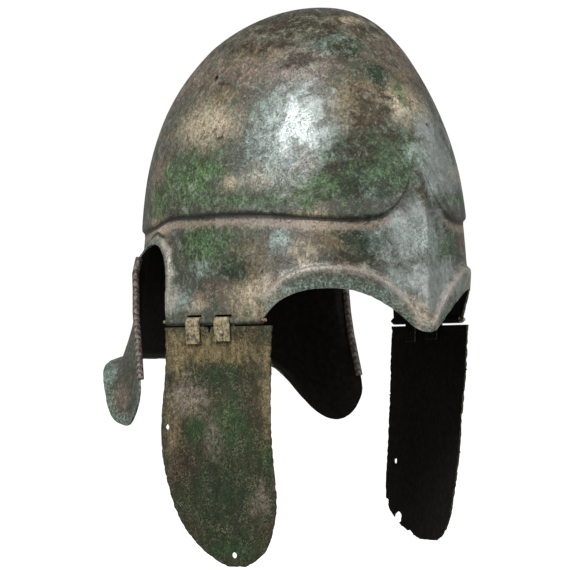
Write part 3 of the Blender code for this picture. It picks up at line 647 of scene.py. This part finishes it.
outside, add = new_material("patinated_bronze")
place = add("place")
grain = add("noise", place, per(2.9), 8, 0.74, 0.6)
crumbs = add("noise", place, per(1.5), 4, 0.65, 0.3)
result, patches = mineral_colour(add, place, BOWL_GROUND, BOWL_MINERALS, grain)
print("minerals on the bowl:", list(patches))

# %% Mottle it
def less_where_worn(add, amount, share):
    """The amount, less that share of it where the metal is worn."""
    return add("times", amount, add("plus", add("times", patches["worn"], -share), 1.0))


veil = add("rise", add("noise", place, per(6), 10, 0.78, 0.8), 0.5, 0.64)
result = add("lay", result, colour("#8B9483"), add("times", veil, 0.34))
soil = add("rise", add("noise", place, per(8), 10, 0.75, 0.6), 0.48, 0.6)
soil = less_where_worn(add, soil, 0.6)
result = add("lay", result, colour("#201A10"), add("times", soil, 0.72))
shade = add("rise", add("noise", place, per(24), 5, 0.6), 0.42, 0.62)
result = add("lay", result, colour("#1C1A12"), add("times", shade, 0.28))
print("nodes so far:", len(outside.node_tree.nodes))

# %% Rub its crests and paint a highlight on them, and paint shade in its grooves
def ragged(add, mark_name, roughness_of_edge):
    """A painted mark whose edge is broken up by the grain."""
    breaking = add("times", add("plus", grain, -0.5), roughness_of_edge)
    return add("plus", add("painted", attribute_name=mark_name), breaking)


shoulder = add("rise", ragged(add, "shoulder", 2.0), 0.2, 0.8)
result = add("lay", result, colour("#7E7062"), add("times", shoulder, 0.6))
border = add("rise", ragged(add, "rim", 2.5), 0.3, 0.7)
border_tone = add("lay", colour("#252C22"), colour("#6A7B6F"), add("rise", crumbs, 0.4, 0.6))
result = add("lay", result, border_tone, add("times", border, 0.6))
# pale colour along the crests: partly rubbed metal, partly a painted highlight
crest_rub_and_highlight = add("rise", ragged(add, "crest_rub_and_highlight", 1.6), 0.15, 1.1)
result = add("lay", result, colour("#978B80"), add("times", crest_rub_and_highlight, 0.55))
print("marks laid: shoulder, rim, crest")

# %% Scatter specks and pits
pale = add("rise", crumbs, 0.57, 0.66)
result = add("lay", result, colour("#9FAEA4"), add("times", pale, 0.15))
worms = add("rise", add("noise", place, per(2.6), 5, 0.65, 1.5), 0.53, 0.6)
in_specks = add("rise", add("painted", attribute_name="specks"), -0.1, 0.5)
worms = add("times", worms, in_specks)
result = add("lay", result, colour("#29352A"), add("times", worms, 0.75))
pits = add("rise", add("noise", place, per(1.2), 3, 0.6, 0.2), 0.55, 0.64)
pits = add("times", pits, add("rise", grain, 0.38, 0.55))
pits = less_where_worn(add, pits, 0.4)
result = add("lay", result, colour("#181A12"), add("times", pits, 0.8))
# near-black line in the groove under the brow step: painted shade
groove_shade = add("rise", ragged(add, "groove_shade", 1.2), 0.2, 0.6)
result = add("lay", result, colour("#100D09"), add("times", groove_shade, 0.9))
print("nodes so far:", len(outside.node_tree.nodes))

# %% Give it its sheen and relief
shine = add("plus", patches["worn"], add("times", patches["teal"], 0.3))
shine = add("plus", shine, add("times", crest_rub_and_highlight, 1.5))
roughness = add("plus", add("times", grain, 0.16), 0.37)
roughness = add("plus", add("times", shine, -0.1), roughness)
roughness = add("plus", roughness, add("times", pits, 0.3))
crusted = add("plus", add("plus", patches["dark_green"], patches["green"]), patches["dark"])
gloss = add("plus", add("times", add("rise", crusted, 0.0, 1.0), -0.28), 0.42)
dents = add("times", add("noise", place, per(19), 1.5, 0.5), 0.5)
height = add("plus", dents, add("times", grain, 0.26))
for relief, depth in ((crumbs, 0.14), (pits, -0.2), (worms, -0.1)):
    height = add("plus", height, add("times", relief, depth))
height = less_where_worn(add, height, 0.65)
surface(add, result, roughness, add("times", patches["worn"], 0.12), height, gloss)
print("patinated bronze:", len(outside.node_tree.nodes), "nodes")

# %% [markdown]
# ### Corroded bronze
#
# The cheekpieces are the same hammered bronze, eaten right through in places along their
# borders. Their common name is heavily corroded bronze. The crust grew in grains, so the eye sees a dry
# matt surface in ochre, olive and dark green, faintly streaked from top to bottom.

# %% Choose the plates' minerals
PLATE_MINERALS = (
    ("tan", "#4C3F28", "#8A7A5C", 0.8, 8),
    ("beige", "#4A4136", "#887C6E", 0.8, 7),
    ("ochre", "#4C4028", "#877751", 0.8, 7),
    ("dark_green", "#0A1308", "#24391F", 0.9, 9),
    ("green", "#0D220E", "#2F4D27", 0.8, 7),
    ("dark", "#1F1610", "#3F2D20", 0.85, 8),
)
PLATE_GROUND = ("#302B1A", "#2C321E", "#544D36")
STREAK_SHAPE = (1.0, 1.0, 0.22)

crust, add = new_material("corroded_bronze")
place = add("place")
grain = add("noise", place, per(2.8), 8, 0.78, 0.4)
crumbs = add("noise", place, per(1.2), 4, 0.7, 0.2)
result, patches = mineral_colour(add, place, PLATE_GROUND, PLATE_MINERALS, grain)
print("minerals on the plates:", list(patches))

# %% Streak and roughen them
soil = add("rise", add("noise", place, per(4.5), 9, 0.78, 0.6), 0.5, 0.62)
result = add("lay", result, colour("#191409"), add("times", soil, 0.6))
streaks = add("noise", add("stretch", place, STREAK_SHAPE), per(3), 6, 0.7)
result = add("lay", result, colour("#16180E"), add("times", add("rise", streaks, 0.46, 0.62), 0.5))
clusters = add("rise", add("noise", place, per(9), 5, 0.65), 0.42, 0.6)
pale = add("times", add("times", add("rise", crumbs, 0.5, 0.62), clusters), 0.32)
result = add("lay", result, colour("#93886C"), pale)
pits = add("rise", add("times", crumbs, -1.0), -0.46, -0.36)
result = add("lay", result, colour("#100F09"), add("times", pits, 0.75))
height = add("plus", add("times", grain, 1.0), add("times", crumbs, 0.8))
surface(add, result, 0.72, 0.0, height, 0.2)
print("corroded bronze:", len(crust.node_tree.nodes), "nodes")

# %% [markdown]
# ### The dark inside
#
# The inside was never rubbed or cleaned. Its common name is black copper oxide on hammered
# bronze. Its colour is made darker still than the oxide, as painted shade for the hollow of the
# helmet, so the eye sees a brown-black crust that swallows nearly all the light that gets in.

# %% Blacken the inside
inside, add = new_material("oxide_and_painted_shade_inside")
grain = add("noise", add("place"), per(4), 6, 0.65)
# near-black: the real oxide, darkened further as painted shade for the hollow
result = add("lay", colour("#0B0906"), colour("#1A1510"), add("rise", grain, 0.4, 0.65))
surface(add, result, 0.85, 0.0, add("times", grain, 0.6), 0.15)
print("oxide inside:", len(inside.node_tree.nodes), "nodes")

# %% [markdown]
# ### Wires and straps
#
# The wires are drawn bronze. They are rubbed by the straps, so half the metal shows through, and
# the eye sees a duller kind of brass. The straps are cut from sheet bronze and crusted, so the
# eye sees pale lumps with dark gaps between them and a little green.

# %% Rub the wires and crust the straps
wire, add = new_material("bronze_wire")
grain = add("noise", add("place"), per(1.5), 5, 0.65)
result = add("lay", colour("#5A4C30"), colour("#8C7B55"), add("rise", grain, 0.4, 0.6))
surface(add, result, 0.45, 0.55, add("times", grain, 0.15))

strap_crust, add = new_material("crusted_strap_bronze")
place = add("place")
grain = add("noise", place, per(2.6), 7, 0.75, 0.4)
result = add("lay", colour("#1A140D"), colour("#8A7C5E"), add("rise", grain, 0.38, 0.6))
green = add("rise", add("noise", place, per(3.5), 5, 0.65), 0.55, 0.65)
result = add("lay", result, colour("#5B6A48"), add("times", green, 0.6))
surface(add, result, 0.6, 0.1, add("times", grain, 0.7))
print("materials:", [material.name for material in bpy.data.materials])

# %% [markdown]
# ## Put the finishes on
#
# A face belongs to the inside when it looks towards the middle of the head. The faces of the
# sheet's own thickness keep the outer finish, as they do on the real rim.

# %% Inside and outside
def finish(piece, outer, inner, looks_in):
    piece.data.materials.append(outer)
    piece.data.materials.append(inner)
    for face in piece.data.polygons:
        face.material_index = int(looks_in(face))
    pick(piece)
    bpy.ops.object.shade_smooth_by_angle(angle=math.radians(40))


# faces that look inwards get the dark oxide, darkened further as painted shade
finish(bowl, outside, inside, lambda face: not looks_out(face.normal, face.center.copy()))
for side in plates:
    inwards = Vector((1, 0, 0)) if side == "right" else Vector((-1, 0, 0))
    for piece in (plates[side], tops[side]):
        finish(piece, crust, inside, lambda face: face.normal.dot(inwards) > 0.5)

print("inner faces of the bowl:", sum(face.material_index for face in bowl.data.polygons))

# %% Hand the big pieces to the frame
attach(bowl, "bowl")
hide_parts("bowl")
for side in plates:
    for piece in (plates[side], tops[side]):
        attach(piece, f"cheek_{side}")
        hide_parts(f"cheekpiece_{side}")

# %% [markdown]
# ## Straps, rivets and wires
#
# Each cheekpiece hangs by two bronze strips folded over a wire and riveted through the plate.
# They are thick with crust and their corners have gone soft, so each copy gets a small bevel.
# That is enough at this size and keeps the gaps to the wire. Rivets and wires keep their shape.

# %% Soften the small parts
def body_of(name):
    carrier = frame["nodes"][name].parent
    return next(body for body, empty in frame["bodies"].items() if empty == carrier)


STRAP_BEVEL = 0.25 * MM


def turned_in(face):
    """Whether a face of a small piece looks across to the helmet's other side."""
    return face.normal.x * face.center.x < -0.5 * abs(face.center.x)


def dress_small(name, outer, inner, bevel):
    piece = merged_copy(name, f"{name}_dressed")
    if bevel:
        angle = math.radians(40)
        apply_modifier(piece, "BEVEL", width=bevel, segments=2, limit_method="ANGLE", angle_limit=angle)
    finish(piece, outer, inner, turned_in)
    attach(piece, body_of(name))
    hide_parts(name)


for name in frame["nodes"]:
    if name.startswith("strap"):
        # faces of straps and rivets that turn in get the near-black inside colour: painted shade
        dress_small(name, strap_crust, inside, STRAP_BEVEL)
    elif name.startswith("rivet"):
        dress_small(name, strap_crust, inside, 0)
    elif name.startswith("hinge_pin"):
        dress_small(name, wire, wire, 0)

# %% [markdown]
# ## The corded edge
#
# Behind each ear the edge of the neck guard is thickened and cut with fine slanting strokes,
# like a twisted cord. A line of edges lifted straight from the rim and given a round section
# follows that edge exactly, and the strokes are left to the material. It is bronze too, rubbed
# by hands on its crests, so the eye sees pale beads between dark cuts.

# %% Cut the slanting strokes
STROKE_SPACING = 2.4
WAVE_PERIOD_AT_ONE = 2 * math.pi / 20

cord_bronze, add = new_material("corded_bronze")
place = add("place")
grain = add("noise", place, per(1.8), 6, 0.7)
scale = WAVE_PERIOD_AT_ONE / (STROKE_SPACING * MM)
strokes = add("waves", place, scale, 0.8, 2.0, wave_type="BANDS", bands_direction="DIAGONAL")
cuts = add("rise", strokes, 0.55, 0.85)
result = add("lay", colour("#2C241B"), colour("#6F6357"), add("rise", grain, 0.4, 0.6))
result = add("lay", result, colour("#15110C"), add("times", cuts, 0.7))
height = add("plus", add("times", cuts, -0.4), add("times", grain, 0.4))
surface(add, result, 0.55, 0.1, height)
print("strokes every", STROKE_SPACING, "mm")

# %% Raise the cord from the rim
CORD_RADIUS = 2.3 * MM
CORD_SINK = 1.5 * MM
CORD_LOW = Vector((0, 0.066, -0.243))
CORD_HIGH = Vector((0, 0.112, -0.160))


def ear_cord(side, sign):
    piece = merged_copy("bowl", f"ear_cord_{side}")
    form = bmesh.new()
    form.from_mesh(piece.data)
    line = set()
    for edge in form.edges:
        sharp = math.degrees(edge.calc_face_angle_signed(0)) > RIM_TURN
        outer = all(looks_out(face.normal, face.calc_center_median()) for face in edge.link_faces)
        middle = (edge.verts[0].co + edge.verts[1].co) / 2
        inside_box = CORD_LOW.y < middle.y < CORD_HIGH.y and CORD_LOW.z < middle.z < CORD_HIGH.z
        if sharp and outer and inside_box and middle.x * sign > 0:
            line.add(edge)
    sink = {vertex: vertex.normal * CORD_SINK for edge in line for vertex in edge.verts}
    for vertex, shift in sink.items():
        vertex.co -= shift
    bmesh.ops.delete(form, geom=form.faces[:], context="FACES_ONLY")
    bmesh.ops.delete(form, geom=[edge for edge in form.edges if edge not in line], context="EDGES")
    form.to_mesh(piece.data)
    form.free()
    pick(piece)
    bpy.ops.object.convert(target="CURVE")
    piece.data.bevel_depth = CORD_RADIUS
    piece.data.bevel_resolution = 3
    piece.data.use_fill_caps = True
    bpy.ops.object.convert(target="MESH")
    piece.data.materials.clear()
    piece.data.materials.append(cord_bronze)
    bpy.ops.object.shade_smooth_by_angle(angle=math.radians(60))
    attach(piece, "bowl")
    print(side, "cord:", len(line), "edges,", len(piece.data.polygons), "faces")


ear_cord("right", -1)
ear_cord("left", 1)

# %% [markdown]
# ## Floor and light
#
# The photograph was taken on pure white paper with big soft lamps. The cool key lamp stands
# where the dome mirrors it to the camera, which makes the long pale highlight. A second lamp on
# the left draws the crests of the arches, and a third lights the right side. The room itself is
# evenly bright. The paper glows a little, so that it stays white without throwing light up.

# %% Pale floor
FLOOR_DROP = 90 * MM
FLOOR_REACH = 14.0

bpy.ops.object.select_all(action="DESELECT")
bpy.ops.mesh.primitive_plane_add(size=2 * FLOOR_REACH, location=(0, 0, cad_low.z - FLOOR_DROP))
floor = bpy.context.object
floor.name = "floor"
bpy.ops.object.transform_apply(location=True)
paper, add = new_material("white_paper")
fibres = add("noise", add("place"), per(2), 2, 0.55)
white = add("lay", colour("#F4F4F2"), colour("#FFFFFF"), fibres)
surface(add, white, 0.9, 0.0, add("times", fibres, 0.05), 0.1, 0.78)
floor.data.materials.append(paper)
floor.visible_diffuse = False
floor.visible_glossy = False
print("floor at", round(cad_low.z - FLOOR_DROP, 3), "m")

# %% Soft lamps
WHITE = (1.0, 1.0, 1.0)
COOL_WHITE = (0.95, 0.965, 1.0)


def lamp(name, place, target, size, power, tint):
    data = bpy.data.lights.new(name, "AREA")
    data.shape = "RECTANGLE"
    data.size, data.size_y = size
    data.energy = power
    data.color = tint
    thing = bpy.data.objects.new(name, data)
    bpy.context.scene.collection.objects.link(thing)
    thing.location = place
    thing.rotation_euler = (Vector(target) - Vector(place)).to_track_quat("-Z", "Y").to_euler()


KEY_DISTANCE = 1.1
to_camera = (camera.location - highlight).normalized()
mirrored = 2 * highlight_normal.dot(to_camera) * highlight_normal - to_camera
key_place = highlight + mirrored * KEY_DISTANCE
lamp("key", key_place, highlight, (0.34, 0.6), 26, COOL_WHITE)
lamp("side", AIM + back * 0.9 - right * 1.1 + up * 0.25, AIM, (0.3, 1.0), 8, WHITE)
lamp("rim", AIM + back * 0.55 + right * 1.1 + up * 0.35, AIM, (0.5, 1.0), 13, WHITE)
print("key lamp at", [round(value, 2) for value in key_place])

# %% Bright room
ROOM_LIGHT = 0.36
BACKDROP_LIGHT = 1.02
world = bpy.data.worlds.new("room")
bpy.context.scene.world = world
world.use_nodes = True
add = partial(node, world.node_tree)
extra = add("times", add("light path"), BACKDROP_LIGHT - ROOM_LIGHT)
room = world.node_tree.nodes["Background"]
world.node_tree.links.new(add("plus", extra, ROOM_LIGHT), room.inputs["Strength"])
room.inputs["Color"].default_value = colour("#FFFFFF")
bpy.context.scene.view_settings.view_transform = "Standard"
print("room light:", ROOM_LIGHT)
